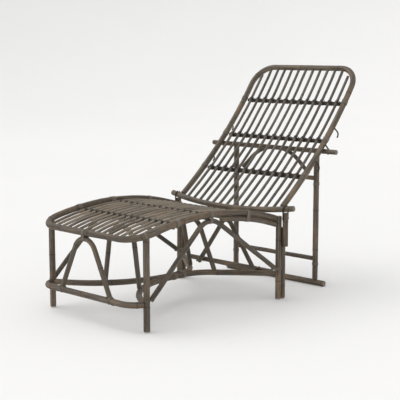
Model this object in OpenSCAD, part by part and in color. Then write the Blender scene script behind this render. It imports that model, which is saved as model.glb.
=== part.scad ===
// Reclining sun lounger of bent rattan poles: a slatted seat frame on four legs, a slatted back
// that turns in two iron loops, and a prop stand whose top bar sits in hooks behind the back.
// Axes: X across, Y from the foot end (-) to the head end (+), Z up. Origin on the floor, centred.

/* [Seat frame] */
// Distance between the centres of the front legs
front_leg_gap = 600; // [560:1:640]
// Distance between the centres of the rear legs
rear_leg_gap = 628; // [610:1:640]
// Place of the front legs along the lounger
front_leg_y = -658; // [-680:1:-640]
// Place of the rear legs along the lounger
rear_leg_y = 135; // [125:1:140]
// Place of the foot rail, at the front end of the seat
foot_rail_y = -724; // [-740:1:-715]
// Distance between the centres of the two side rails
rim_width = 620; // [610:2:640]
// Radius of the crown that the seat follows, seen from the side
crown_r = 1374; // [1300:1:1500]
// Height of the top of the crown, at the centre of the side rails
crown_z = 436.4; // [425:0.1:445]
// Place of the top of the crown along the lounger
crown_y = -300; // [-320:1:-280]
// Height of the lower stretchers
stretcher_z = 115; // [105:1:130]
// Number of canes in the seat
deck_cane_count = 15; // [9:1:17]

/* [Back] */
// Place of the axis that the back turns on, along the lounger
pivot_y = 150; // [148:0.5:153]
// Height of the axis that the back turns on
pivot_z = 412; // [410:0.5:416]
// Distance between the centres of the two pivot loops
pivot_gap = 680; // [670:1:690]
// Slope of the back at its lower end, in degrees
back_slope = 37; // [34:0.5:40]
// Radius of the curve of the back, seen from the side
back_r = 2370; // [2200:5:2600]
// Length of the back along its curve, from the pivot axis to the top rail
back_length = 841; // [800:1:880]
// Distance between the centres of the two side rails of the back
back_width = 628; // [610:1:650]
// Radius of the two upper corners of the back
back_corner_r = 105; // [80:1:130]
// How far the lower bar of the back is bowed
pivot_bar_bow = 44; // [30:1:46]
// Number of canes in the back
back_cane_count = 13; // [7:1:15]
// Distance between neighbouring hooks, along the back
hook_step = 100; // [90:1:110]

/* [Prop stand] */
// Distance between the centres of the stand's posts
stand_post_gap = 508; // [480:1:530]
// Length of the stand's top bar
stand_bar_length = 776; // [740:1:800]
// Length of the bar that the stand rests on
stand_base_length = 620; // [600:1:660]

/* [Pole sizes] */
// Radius of the legs and the main rails
pole_r = 14; // [13:0.5:14]
// Radius of the stretchers and the pivot bar
stretcher_r = 13.5; // [12.5:0.5:13.5]
// Radius of the bent braces
brace_r = 11; // [10:0.5:12]
// Radius of the canes in the seat and the back
cane_r = 6.5; // [5:0.5:7]
// Thickness of the peel that is wound round the joints
wrap_t = 1.6; // [1.2:0.1:2]

/* [Hidden] */
$fn = 64;
gap = 0.3;                        // free space between pieces that touch
wrap_gap = 0.2;                   // free space inside a winding
wrap_w = 24;                      // width of a winding
join_depth = 0.5;                 // how far a bend reaches into the stretches beside it
join_step = 0.05;                 // how much thinner a pole is in its bends
half_rim = rim_width / 2;
rear_x = rear_leg_gap / 2;
front_x = front_leg_gap / 2;
rail_end_y = rear_leg_y - pole_r - 4.8;  // lets the sloping end of a rail clear the leg

// The crown: every lengthwise piece of the seat is an arc about this axis
crown_axis_z = crown_z - crown_r;
function crown_angle(y, r) = 90 - asin((y - crown_y) / r);
function crown_height(y, r) = crown_axis_z + r * sin(crown_angle(y, r));
rim_corner_r = 110;
rim_corner_angle = crown_angle(foot_rail_y + rim_corner_r, crown_r);
// The foot rail lies on the tangent of the side rails, a little above and behind the crown's arc
foot_bar_y = crown_y + crown_r * cos(rim_corner_angle) - rim_corner_r * sin(rim_corner_angle);
foot_bar_z = crown_axis_z + crown_r * sin(rim_corner_angle) + rim_corner_r * cos(rim_corner_angle);

// Lower rail, stacked under the side rail over the rear half of the seat
lower_rail_r = 12;
lower_arc_r = crown_r - pole_r - lower_rail_r - gap;
lower_rail_y = -238;
mid_rail_y = -112;

// Seat canes and the crossbars under them
deck_arc_r = crown_r - 4;
crossbar_r = 7.5;
crossbar_arc_r = deck_arc_r - cane_r - crossbar_r - gap;
crossbar_y = [-497, -297, -73];
crossbar_end_x = half_rim - pole_r - wrap_gap - wrap_t - gap;
deck_cane_pitch = (rim_width - 2 * pole_r) / (deck_cane_count + 1);
rear_rail_r = 13;
rear_rail_y = rear_leg_y - 2;
rear_rail_z = 353;
deck_end_y = rear_rail_y - 14.7;   // clear of the bowed bar that turns above the rear rail

// Poles that stand behind and outside each rear leg
doubler_r = 12.5;
doubler_x = rear_x + 2;
doubler_y = rear_leg_y + pole_r + doubler_r + 1;
doubler_top = crown_height(rear_leg_y, lower_arc_r) - lower_rail_r;
post_x = pivot_gap / 2;
post_r = 13.5;
post_top = pivot_z - 17;           // just clear of the bar that turns above it
post_bottom = 244;
rear_leg_top = crown_height(rear_leg_y, crown_r) + pole_r;
front_leg_top = crown_height(front_leg_y, crown_r) - 6;    // before it is cut hollow for the rim

// Lower frame
glide_h = 5;
side_bend_r = 450;                // bend of a side stretcher next to the front leg
side_bend_y = -239;               // where that bend runs out
side_turn_r = 165;                // bend of a side stretcher on its way to the rear leg
side_turn_y = -165;
side_turn_angle = 50.8;
side_x = stretcher_r + gap / 2;   // each side stretcher from the middle, where the pair touch
rear_stretcher_y = rear_leg_y + 20;
rear_stretcher_r = 12;
rear_stretcher_half = 262;
front_bend_r = 80;

// Bent braces
front_arch_half = 157;
rear_arch_half = 177;
rear_arch_y = rear_stretcher_y - rear_stretcher_r - brace_r - gap;
front_inner_y = -521;
front_inner_half = 108;
rear_inner_y = -34;
rear_inner_half = 75;
side_arch_front_y = front_leg_y + 15;
side_arch_rear_y = rear_leg_y - pole_r - 7;
side_arch_front_z = 129.4;
side_arch_rear_z = 147;

// Back: points on its curve are given by their distance along it from the pivot axis
back_axis_y = pivot_y - back_r * sin(back_slope);
back_axis_z = pivot_z + back_r * cos(back_slope);
function back_angle(s) = back_slope + s / back_r * 180 / PI;
corner_s = back_length - back_corner_r;
half_back = back_width / 2;
bar_r = stretcher_r;
pivot_bar_half = 382;
bar_bow_k = pivot_bar_bow / (pivot_bar_half * pivot_bar_half);
function bar_s(x) = bar_bow_k * (x * x - post_x * post_x);
bar_arc_r = (pivot_bar_half * pivot_bar_half + pivot_bar_bow * pivot_bar_bow) / (2 * pivot_bar_bow);
back_cane_pitch = back_width / (back_cane_count + 1);
back_cane_r = cane_r + 0.5;
back_crossbar_s = [211, 430, 648];
back_crossbar_r = 8;
function along_bar(x, r) = bar_s(abs(x) + r) + bar_r * 1.02 + 2 * gap;   // just above the bowed bar

// Iron loops that hold the lower bar of the back
loop_r = 16;
loop_t = 2;
loop_w = 7;
loop_leg = 50;
bolt_r = 2.5;
bolt_z = pivot_z - loop_leg + 9;

// Hooks and the bar that rests in the middle pair
hook_s = 381.6;
hook_wire_r = 3.4;
hook_stem = 1;                     // how far a hook's stem reaches forward beside the rail
stand_bar_r = 12;
bar_offset = pole_r + stand_bar_r + 0.5;
hook_bend_r = stand_bar_r + hook_wire_r + 0.5;

// Stand
bar_angle = back_angle(hook_s);
bar_y = back_axis_y + (back_r + bar_offset) * sin(bar_angle);
bar_z = back_axis_z - (back_r + bar_offset) * cos(bar_angle);
post_y = bar_y + stand_bar_r + pole_r + gap;
base_r = pole_r;
stand_x = stand_post_gap / 2;
stand_post_top = bar_z + 8;
upper_rung_z = 514;
lower_rung_z = 128;
rung_r = 11;
rung_half = stand_x - pole_r - gap;

// Node names

// ---- Helpers: poles and where they lie ----

// Draws in the YZ plane at a given X: what was X becomes Y, and what was Y becomes Z
module side_plane(x) {
    translate([x, 0, 0]) rotate([90, 0, 90]) children();
}

// Draws in the XZ plane at a given Y: what was Y becomes Z
module cross_plane(y) {
    translate([0, y, 0]) rotate([90, 0, 0]) children();
}

// A straight pole between two points
module straight_pole(a, b, r) {
    d = b - a;
    translate(a)
        rotate([0, acos(d[2] / norm(d)), atan2(d[1], d[0])])
            cylinder(h = norm(d), r = r);
}

// A pole bent to an arc about the origin, in the XY plane
module arc_pole(bend_r, r, from, to) {
    rotate([0, 0, from])
        rotate_extrude(angle = to - from)
            translate([bend_r, 0])
                circle(r);
}

// A winding of peel round an arc
module arc_wrap(bend_r, r, from, to) {
    rotate([0, 0, from])
        rotate_extrude(angle = to - from)
            translate([bend_r, 0])
                difference() {
                    circle(r + wrap_gap + wrap_t);
                    circle(r + wrap_gap);
                }
}

// A winding of peel round a straight pole, centred between its two ends
module wrap(r, w) {
    translate([0, 0, -w / 2])
        difference() {
            cylinder(h = w, r = r + wrap_gap + wrap_t);
            translate([0, 0, -1]) cylinder(h = w + 2, r = r + wrap_gap);
        }
}

// A winding of peel round two poles side by side, the second at a distance d below the first
module band(r, d) {
    difference() {
        band_core(r + wrap_gap + wrap_t, d, wrap_w);
        band_core(r + wrap_gap, d, wrap_w + 2);
    }
}

module band_core(r, d, w) {
    translate([0, 0, -w / 2]) {
        cylinder(h = w, r = r);
        translate([0, -d, 0]) cylinder(h = w, r = r);
        translate([-r, -d, 0]) cube([2 * r, d, w]);
    }
}

// A straight stretch of a pole that heads along +Y. Its children go on from its end.
module run(length, r) {
    rotate([-90, 0, 0]) cylinder(h = length, r = r);
    translate([0, length, 0]) children();
}

// A bend of a pole that heads along +Y: to the left for a positive angle, to the right for a
// negative one. It reaches a little way into the stretch on either side. Its children go on
// from its end.
module bend(bend_r, angle, r) {
    turn = angle > 0 ? 1 : -1;
    reach = join_depth / bend_r * 180 / PI;
    from = turn > 0 ? 0 : 180 + angle;
    translate([-turn * bend_r, 0, 0]) {
        arc_pole(bend_r, r - join_step, from - reach, from + abs(angle) + reach);
        rotate([0, 0, angle]) translate([turn * bend_r, 0, 0]) children();
    }
}

// A brace bent into an arch: two straight legs that lean in by their own angles, and a round top
module arch(foot_a, foot_b, top, lean_a, lean_b, r) {
    share = sin(lean_b) / sin(lean_a);
    top_r = (sin(lean_b) * (foot_b[0] - foot_a[0]) + cos(lean_b) * (foot_b[1] - top)
        + share * cos(lean_a) * (foot_a[1] - top))
        / (1 - cos(lean_b) + share * (1 - cos(lean_a)));
    c = [foot_b[0] + (cos(lean_b) * (foot_b[1] - top) - top_r * (1 - cos(lean_b))) / sin(lean_b),
        top - top_r];
    leg_a = norm(foot_a - c - top_r * [-sin(lean_a), cos(lean_a)]);
    leg_b = norm(foot_b - c - top_r * [sin(lean_b), cos(lean_b)]);
    translate([foot_a[0], foot_a[1], 0])
        rotate([0, 0, lean_a - 90])
            run(leg_a, r) bend(top_r, -lean_a - lean_b, r) run(leg_b, r);
}

// One pole bent into a hoop: two side arcs about an axis along X, two corners and an end bar.
// The corners and the bar lie in the plane that is tangent to the side arcs where they end.
module hoop(axis_y, axis_z, bend_r, open_angle, corner_angle, half_w, corner_r, r) {
    for (side = [-1, 1])
        side_plane(side * half_w)
            translate([axis_y, axis_z, 0])
                arc_pole(bend_r, r, open_angle, corner_angle);
    translate([0, axis_y, axis_z])
        rotate([corner_angle, 0, 0])
            translate([half_w, bend_r, 0])
                rotate([90, 0, 0])
                    bend(corner_r, 90, r) run(2 * (half_w - corner_r), r) bend(corner_r, 90, r);
}

// Places a piece on the back: Y runs up along the back, and Z points out of its front
module on_back(s, depth = 0) {
    translate([0, back_axis_y, back_axis_z])
        rotate([back_angle(s), 0, 0])
            translate([0, 0, -back_r - depth])
                children();
}

// An upright pole
module upright(x, y, bottom, top, r) {
    straight_pole([x, y, bottom], [x, y, top], r);
}

// ---- Seat frame ----

module rim_hoop(r) {
    hoop(crown_y, crown_axis_z, crown_r, crown_angle(rail_end_y, crown_r), rim_corner_angle,
        half_rim, rim_corner_r, r);
}

module seat_rim() {
    color("#6b6255") rim_hoop(pole_r);
}

module lower_rail(side) {
    color("#675e51")
        side_plane(side * half_rim)
            translate([crown_y, crown_axis_z, 0])
                arc_pole(lower_arc_r, lower_rail_r, crown_angle(rail_end_y, lower_arc_r),
                    crown_angle(lower_rail_y, lower_arc_r));
}

module rear_rail() {
    x = rear_x - pole_r - gap;
    color("#5f574b")
        straight_pole([-x, rear_rail_y, rear_rail_z], [x, rear_rail_y, rear_rail_z], rear_rail_r);
}

module mid_rail() {
    x = half_rim - lower_rail_r - gap;
    z = crown_height(mid_rail_y, lower_arc_r) - 3;
    color("#5b5347") straight_pole([-x, mid_rail_y, z], [x, mid_rail_y, z], brace_r);
}

// Its top is cut hollow where the bent end of the rim sits on it
module front_leg(side) {
    color("#6a6153")
        difference() {
            upright(side * front_x, front_leg_y, glide_h, front_leg_top, pole_r);
            rim_hoop(pole_r + gap);
        }
}

module rear_leg(side) {
    color("#6a6153") upright(side * rear_x, rear_leg_y, glide_h, rear_leg_top, pole_r);
}

module rear_doubler(side) {
    color("#5d5548") upright(side * doubler_x, doubler_y, glide_h, doubler_top, doubler_r);
}

module pivot_post(side) {
    color("#655c4f")
        difference() {
            union() {
                upright(side * post_x, pivot_y, post_bottom + post_r / 2, post_top, post_r);
                translate([side * post_x, pivot_y, post_bottom])
                    cylinder(h = post_r / 2, r1 = post_r * 0.7, r2 = post_r);
            }
            bolt_shank(side, bolt_r + 0.1);
        }
}

// ---- Lower frame ----

// Bends back at both ends, and stops against the front legs
module front_stretcher() {
    half = front_x - front_bend_r;
    bend_y = foot_rail_y + front_bend_r;
    turn = atan2(front_bend_r, bend_y - front_leg_y)
        - (pole_r + 2 * gap + join_depth) / front_bend_r * 180 / PI;
    color("#655c4f")
        translate([-half, foot_rail_y, stretcher_z]) {
            rotate([0, 0, 90]) bend(front_bend_r, -turn, stretcher_r);
            rotate([0, 0, -90]) run(2 * half, stretcher_r) bend(front_bend_r, turn, stretcher_r);
        }
}

// Runs from the front leg to the middle, along its twin, and out again to the rear leg
module side_stretcher(side) {
    leg_angle = atan2(side_bend_y - front_leg_y, side_x + side_bend_r - front_x)
        - (pole_r + 2 * gap + join_depth) / side_bend_r * 180 / PI;
    turn_end_x = side_x + side_turn_r * (1 - cos(side_turn_angle));
    end_run = (rear_x - 22 - turn_end_x) / sin(side_turn_angle);
    color("#62594c")
        mirror([side < 0 ? 1 : 0, 0, 0])
            translate([side_x, side_bend_y, stretcher_z]) {
                rotate([0, 0, 180]) bend(side_bend_r, leg_angle, stretcher_r);
                run(side_turn_y - side_bend_y, stretcher_r)
                    bend(side_turn_r, -side_turn_angle, stretcher_r)
                        run(end_run, stretcher_r);
            }
}

module rear_stretcher() {
    color("#5d5548")
        straight_pole([-rear_stretcher_half, rear_stretcher_y, stretcher_z],
            [rear_stretcher_half, rear_stretcher_y, stretcher_z], rear_stretcher_r);
}

// ---- Bent braces ----

// Its feet are cut hollow where they sit on the front stretcher
module front_arch() {
    top = foot_bar_z - pole_r - brace_r - gap;
    color("#6b6255")
        difference() {
            cross_plane(foot_bar_y)
                arch([-front_arch_half, stretcher_z], [front_arch_half, stretcher_z], top, 64, 64,
                    brace_r);
            straight_pole([-rear_x, foot_rail_y, stretcher_z], [rear_x, foot_rail_y, stretcher_z],
                stretcher_r + gap);
        }
}

// Stands in front of the rear stretcher, with its feet lashed to it
module rear_arch() {
    foot_z = stretcher_z - 7;
    color("#5b5347")
        cross_plane(rear_arch_y)
            arch([-rear_arch_half, foot_z], [rear_arch_half, foot_z], 328, 54, 54, brace_r);
}

// Its front foot is cut hollow where it sits against the leg
module side_arch(side) {
    top = crown_height(crown_y, crown_r) - pole_r - brace_r - 2.5;
    color("#6b6255")
        difference() {
            side_plane(side * (half_rim - 1))
                arch([side_arch_front_y, side_arch_front_z], [side_arch_rear_y, side_arch_rear_z],
                    top, 43, 34, brace_r);
            upright(side * front_x, front_leg_y, glide_h, stretcher_z * 2, pole_r + gap);
        }
}

module front_inner_arch() {
    foot_z = stretcher_z + stretcher_r + 2.5;
    top = crown_height(front_inner_y, crossbar_arc_r) - crossbar_r - brace_r - 4;
    color("#5b5347")
        cross_plane(front_inner_y)
            arch([-front_inner_half, foot_z], [front_inner_half, foot_z], top, 81, 81, brace_r);
}

// Leans forward from the side stretchers to the mid rail
module rear_inner_arch() {
    rail_z = crown_height(mid_rail_y, lower_arc_r) - 3;
    foot_z = stretcher_z + stretcher_r + 3.6;
    rise = rail_z - brace_r * 2 - 2 - foot_z;
    lean = atan((rear_inner_y - mid_rail_y) / rise);
    color("#5b5347")
        translate([0, rear_inner_y, foot_z])
            rotate([90 + lean, 0, 0])
                arch([-rear_inner_half, 0], [rear_inner_half, 0], rise / cos(lean), 84, 84, brace_r);
}

// ---- Deck ----

module deck_crossbar(i) {
    z = crown_height(crossbar_y[i], crossbar_arc_r);
    color("#4f473c")
        straight_pole([-crossbar_end_x, crossbar_y[i], z], [crossbar_end_x, crossbar_y[i], z],
            crossbar_r);
}

// Where a seat cane meets the foot rail, or the inside of a corner
function cane_start_angle(x) =
    let (inner = rim_corner_r - pole_r - 3.2,
        reach = max(0, abs(x) + cane_r - half_rim + rim_corner_r))
    rim_corner_angle + atan(sqrt(inner * inner - reach * reach) / crown_r);

module deck_canes() {
    color("#8c8272")
        for (i = [1 : deck_cane_count]) {
            x = -half_rim + pole_r + i * deck_cane_pitch;
            side_plane(x)
                translate([crown_y, crown_axis_z, 0])
                    arc_pole(deck_arc_r, cane_r, crown_angle(deck_end_y, deck_arc_r),
                        cane_start_angle(x));
        }
}

// ---- Iron fittings and feet of the seat ----

module bolt_shank(side, r) {
    straight_pole([side * post_x, pivot_y - loop_r - loop_t - 1, bolt_z],
        [side * post_x, pivot_y + loop_r + loop_t + 1, bolt_z], r);
}

// Iron strip bent over the lower bar of the back, and bolted to the post
module pivot_loop(side) {
    color("#26221f")
        difference() {
            translate([side * post_x - loop_w / 2, pivot_y, pivot_z])
                rotate([90, 0, 90])
                    union() {
                        rotate_extrude(angle = 180)
                            translate([loop_r, 0]) square([loop_t, loop_w]);
                        translate([loop_r, -loop_leg, 0]) cube([loop_t, loop_leg, loop_w]);
                        translate([-loop_r - loop_t, -loop_leg, 0]) cube([loop_t, loop_leg, loop_w]);
                    }
            bolt_shank(side, bolt_r + 0.1);
        }
}

module loop_bolts() {
    head_h = 2.5;
    face = loop_r + loop_t + 0.1;
    color("#26221f")
        for (side = [-1, 1])
            translate([side * post_x, pivot_y, bolt_z])
                rotate([90, 0, 0]) {
                    translate([0, 0, -face]) cylinder(h = 2 * face, r = bolt_r);
                    translate([0, 0, face]) cylinder(h = head_h, r1 = 4.5, r2 = 3);
                    translate([0, 0, -face - head_h]) cylinder(h = head_h, r1 = 3, r2 = 4.5);
                }
}

// A pale disc under every leg and doubler
module leg_glides() {
    color("#b9b4aa") {
        for (side = [-1, 1]) {
            translate([side * front_x, front_leg_y, 0]) glide(pole_r - 2);
            translate([side * rear_x, rear_leg_y, 0]) glide(pole_r - 2);
            translate([side * doubler_x, doubler_y, 0]) glide(doubler_r - 2);
        }
    }
}

module glide(r) {
    cylinder(h = glide_h - 0.1, r1 = r - 1, r2 = r);
}

module seat_bindings() {
    color("#7d7363") {
        for (side = [-1, 1]) {
            for (y = [crossbar_y[0], crossbar_y[1]])
                side_plane(side * half_rim)
                    translate([crown_y, crown_axis_z, 0])
                        arc_wrap(crown_r, pole_r, crown_angle(y, crown_r) - 0.5,
                            crown_angle(y, crown_r) + 0.5);
            side_plane(side * half_rim)
                translate([crown_y, crown_axis_z, 0])
                    rotate([0, 0, crown_angle(crossbar_y[2], crown_r) - 90])
                        translate([0, crown_r, 0])
                            rotate([0, 90, 0]) band(pole_r, pole_r + lower_rail_r + gap);
        }
        translate([0, foot_bar_y, foot_bar_z])
            rotate([90, 0, 90]) band(pole_r, pole_r + brace_r + gap);
    }
}

// ---- Back ----

module back_hoop() {
    start_s = along_bar(half_back, pole_r);
    color("#6b6255")
        hoop(back_axis_y, back_axis_z, back_r, back_angle(start_s) - 90, back_angle(corner_s) - 90,
            half_back, back_corner_r, pole_r);
}

// Bowed bar whose ends turn in the iron loops
module pivot_bar() {
    half_angle = asin(pivot_bar_half / bar_arc_r);
    color("#5f574b")
        translate([0, pivot_y, pivot_z])
            rotate([back_slope, 0, 0])
                translate([0, bar_s(0) + bar_arc_r, 0])
                    arc_pole(bar_arc_r, bar_r, 270 - half_angle, 270 + half_angle);
}

module back_crossbar(i) {
    x = half_back - pole_r - gap;
    depth = back_cane_r + back_crossbar_r + gap;
    color("#4a4238")
        on_back(back_crossbar_s[i], depth)
            straight_pole([-x, 0, 0], [x, 0, 0], back_crossbar_r);
}

// Where a cane meets the top bar, or the inside of a corner
function cane_end_s(x) =
    let (inner = back_corner_r - pole_r - 1,
        reach = max(0, abs(x) + back_cane_r - half_back + back_corner_r))
    corner_s + sqrt(inner * inner - reach * reach);

module back_canes() {
    color("#7c7263")
        for (i = [1 : back_cane_count]) {
            x = -half_back + i * back_cane_pitch;
            side_plane(x)
                translate([back_axis_y, back_axis_z, 0])
                    arc_pole(back_r, back_cane_r, back_angle(along_bar(x, back_cane_r)) - 90,
                        back_angle(cane_end_s(x)) - 90);
        }
}

// A hook of iron wire: its stem lies against the outside of the rail, and its bend reaches
// over the bar
module hook() {
    side_plane(0)
        translate([hook_bend_r, hook_stem, 0])
            rotate([0, 0, 180])
                run(hook_stem + bar_offset, hook_wire_r)
                    bend(hook_bend_r, -102, hook_wire_r);
}

module hooks(side) {
    color("#1f1c1a")
        for (s = [hook_s - hook_step, hook_s, hook_s + hook_step])
            on_back(s)
                translate([side * (half_back + pole_r + hook_wire_r + gap), 0, 0]) hook();
}

module back_bindings() {
    color("#6f6657") {
        for (side = [-1, 1])
            for (s = back_crossbar_s)
                side_plane(side * half_back)
                    translate([back_axis_y, back_axis_z, 0])
                        arc_wrap(back_r, pole_r, back_angle(s) - 90.28, back_angle(s) - 89.72);
    }
}

// ---- Prop stand ----

module stand_top_bar() {
    x = stand_bar_length / 2;
    color("#5f574b") straight_pole([-x, bar_y, bar_z], [x, bar_y, bar_z], stand_bar_r);
}

module stand_post(side) {
    color("#655c4f")
        upright(side * stand_x, post_y, 2 * base_r + gap, stand_post_top, pole_r);
}

module stand_brace() {
    foot = rung_half - 32;
    foot_z = upper_rung_z + rung_r + gap + 8;
    color("#5b5347")
        cross_plane(post_y)
            arch([-foot, foot_z], [foot, foot_z], bar_z - 2, 43, 43, rung_r - 1);
}

module stand_rung(z) {
    color("#5d5548") straight_pole([-rung_half, post_y, z], [rung_half, post_y, z], rung_r);
}

module stand_base_bar() {
    x = stand_base_length / 2;
    color("#655c4f") straight_pole([-x, post_y, base_r], [x, post_y, base_r], base_r);
}

module stand_bindings() {
    color("#6f6657")
        for (side = [-1, 1]) {
            translate([side * stand_x, post_y, upper_rung_z - 26]) wrap(pole_r, 18);
            translate([side * stand_x, post_y, lower_rung_z - 26]) wrap(pole_r, 18);
        }
}

seat_rim();
lower_rail(-1);  // lower_rail_left
lower_rail(1);  // lower_rail_right
rear_rail();
mid_rail();
front_leg(-1);  // front_leg_left
front_leg(1);  // front_leg_right
rear_leg(-1);  // rear_leg_left
rear_leg(1);  // rear_leg_right
rear_doubler(-1);  // rear_doubler_left
rear_doubler(1);  // rear_doubler_right
pivot_post(-1);  // pivot_post_left
pivot_post(1);  // pivot_post_right
front_stretcher();
side_stretcher(-1);  // side_stretcher_left
side_stretcher(1);  // side_stretcher_right
rear_stretcher();
front_arch();
rear_arch();
side_arch(-1);  // side_arch_left
side_arch(1);  // side_arch_right
front_inner_arch();
rear_inner_arch();
deck_crossbar(0);  // deck_crossbar_front
deck_crossbar(1);  // deck_crossbar_middle
deck_crossbar(2);  // deck_crossbar_rear
deck_canes();
pivot_loop(-1);  // pivot_loop_left
pivot_loop(1);  // pivot_loop_right
loop_bolts();
leg_glides();
seat_bindings();
back_hoop();
pivot_bar();
back_crossbar(0);  // back_crossbar_low
back_crossbar(1);  // back_crossbar_middle
back_crossbar(2);  // back_crossbar_high
back_canes();
hooks(-1);  // hooks_left
hooks(1);  // hooks_right
back_bindings();
stand_top_bar();
stand_post(-1);  // stand_post_left
stand_post(1);  // stand_post_right
stand_brace();
stand_rung(upper_rung_z);  // stand_upper_rung
stand_rung(lower_rung_z);  // stand_lower_rung
stand_base_bar();
stand_bindings();
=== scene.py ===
# Looks of the reclining sun lounger: weathered rattan poles, canes and peel windings, built on
# the centrelines that the CAD solids give. Lengths are in metres, in the frame of the CAD model.

import math
import random

import bpy
import numpy as np
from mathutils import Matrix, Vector


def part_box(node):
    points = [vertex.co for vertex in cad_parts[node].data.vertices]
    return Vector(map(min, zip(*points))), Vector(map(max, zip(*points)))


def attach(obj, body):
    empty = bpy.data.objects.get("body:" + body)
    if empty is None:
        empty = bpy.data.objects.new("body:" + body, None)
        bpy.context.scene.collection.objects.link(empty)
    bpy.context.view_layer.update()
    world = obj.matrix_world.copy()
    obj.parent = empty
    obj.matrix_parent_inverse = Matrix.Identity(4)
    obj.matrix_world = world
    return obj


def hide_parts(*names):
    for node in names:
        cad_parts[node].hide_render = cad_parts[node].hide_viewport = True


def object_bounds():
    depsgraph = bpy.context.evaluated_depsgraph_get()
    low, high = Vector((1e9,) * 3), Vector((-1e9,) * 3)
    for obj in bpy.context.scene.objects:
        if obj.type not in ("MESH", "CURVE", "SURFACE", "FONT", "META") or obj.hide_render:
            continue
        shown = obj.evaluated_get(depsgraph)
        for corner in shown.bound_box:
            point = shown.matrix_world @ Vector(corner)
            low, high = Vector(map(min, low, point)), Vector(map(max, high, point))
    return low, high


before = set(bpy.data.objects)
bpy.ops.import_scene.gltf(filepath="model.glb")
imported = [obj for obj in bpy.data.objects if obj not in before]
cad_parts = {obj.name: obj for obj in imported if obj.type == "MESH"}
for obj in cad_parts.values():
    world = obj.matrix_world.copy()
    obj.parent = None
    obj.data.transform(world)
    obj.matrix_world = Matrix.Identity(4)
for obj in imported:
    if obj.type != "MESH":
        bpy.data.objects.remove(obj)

cad_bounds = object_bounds()
MM = 0.001
TURN = 2 * math.pi

# ---------------------------------------------------------------------------------------------
# Reading the centrelines of the poles from the CAD solids
# ---------------------------------------------------------------------------------------------

# A face is flat when its area is nearly the sum of its triangles' areas
FLAT_SHARE = 0.9995
FACE_AREA_MIN = 1e-6
# A flat face is round when the circle about it is hardly larger
ROUND_LIMIT = 1.15
# March along a pole: a step, the most steps, how far round the axis a cut is read, in radii, and
# how much the radius may change
MARCH_STEP = 6 * MM
MARCH_LIMIT = 1000
CUT_REACH = 2.2
RADIUS_CHANGE = 0.2
# Ends that face each other this exactly belong to a straight pole
STRAIGHT = 0.99999
STRAIGHT_POINTS = 60
# A march stops this far before the pole's other flat end, which is then its last point
END_GAP = 4 * MM


def unit(v):
    return v / np.linalg.norm(v)


def spread_labels(count, tri):
    """A label for each point, the same for all the points that triangles join."""
    label = np.arange(count)
    while True:
        new = label.copy()
        np.minimum.at(new, tri.ravel(), np.repeat(label[tri].min(1), 3))
        new = new[new]
        if (new == label).all():
            return label
        label = new


def solids(name):
    """The separate solids of a CAD node, from -X to +X, each as (points, triangles, flat ends)."""
    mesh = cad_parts[name].data
    co = np.empty(len(mesh.vertices) * 3)
    mesh.vertices.foreach_get("co", co)
    co = co.reshape(-1, 3)
    mesh.calc_loop_triangles()
    tri = np.empty(len(mesh.loop_triangles) * 3, int)
    mesh.loop_triangles.foreach_get("vertices", tri)
    tri = tri.reshape(-1, 3)
    face = spread_labels(len(co), tri)[tri[:, 0]]
    points, index = np.unique(np.round(co, 5), axis=0, return_inverse=True)
    merged = index.ravel()[tri]
    label = spread_labels(len(points), merged)
    found = []
    for k in np.unique(label[merged]):
        mine = label[merged[:, 0]] == k
        own = np.flatnonzero(label == k)
        renumber = np.zeros(len(points), int)
        renumber[own] = np.arange(len(own))
        found.append((points[own], renumber[merged[mine]], flat_ends(co, tri[mine], face[mine])))
    return sorted(found, key=lambda s: (round(s[0][:, 0].mean(), 4), round(s[0][:, 1].mean(), 4)))


def flat_ends(co, tri, face):
    """The flat round faces of a solid: [(centre, outward normal, radius)], the largest first."""
    ends = []
    for k in np.unique(face):
        rows = tri[face == k]
        a, b, c = co[rows[:, 0]], co[rows[:, 1]], co[rows[:, 2]]
        n = np.cross(b - a, c - a) / 2
        size = np.linalg.norm(n, axis=1)
        normal = n.sum(0)
        area = np.linalg.norm(normal)
        if area < FLAT_SHARE * size.sum() or area < FACE_AREA_MIN:
            continue
        centre = ((a + b + c) / 3 * size[:, None]).sum(0) / size.sum()
        reach = np.linalg.norm(co[np.unique(rows)] - centre, axis=1).max()
        if math.pi * reach**2 / area < ROUND_LIMIT:
            ends.append((area, centre, normal / area, reach))
    ends.sort(key=lambda e: -e[0])
    return [e[1:] for e in ends[:2]]


def section(co, tri, p, d, reach):
    """Centre and radius of the pole where the plane through p, square to d, cuts it."""
    s = (co - p) @ d
    t = s[tri]
    cut = (t.min(1) < 0) & (t.max(1) >= 0)
    if not cut.any():
        return None
    tri, t = tri[cut], t[cut]
    ends, hit = [], []
    for i, j in ((0, 1), (1, 2), (2, 0)):
        sa, sb = t[:, i], t[:, j]
        crossing = (sa < 0) != (sb < 0)
        w = np.where(crossing, sa / np.where(crossing, sa - sb, 1), 0)[:, None]
        ends.append(co[tri[:, i]] * (1 - w) + co[tri[:, j]] * w)
        hit.append(crossing)
    ends = np.stack(ends, 1)[np.stack(hit, 1)].reshape(-1, 2, 3)
    mid = ends.mean(1)
    size = np.linalg.norm(ends[:, 0] - ends[:, 1], axis=1)
    near = np.linalg.norm(mid - p, axis=1) < reach
    if size[near].sum() < reach:
        return None
    centre = (mid[near] * size[near, None]).sum(0) / size[near].sum()
    radius = (np.linalg.norm(mid[near] - centre, axis=1) * size[near]).sum() / size[near].sum()
    return centre, radius


def step_ahead(co, tri, p, d, r):
    """The pole's centre one step ahead of p, or None past its end."""
    got = section(co, tri, p + d * MARCH_STEP, d, CUT_REACH * r)
    if got is None or abs(got[1] / r - 1) > RADIUS_CHANGE:
        return None
    return got[0]


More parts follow.
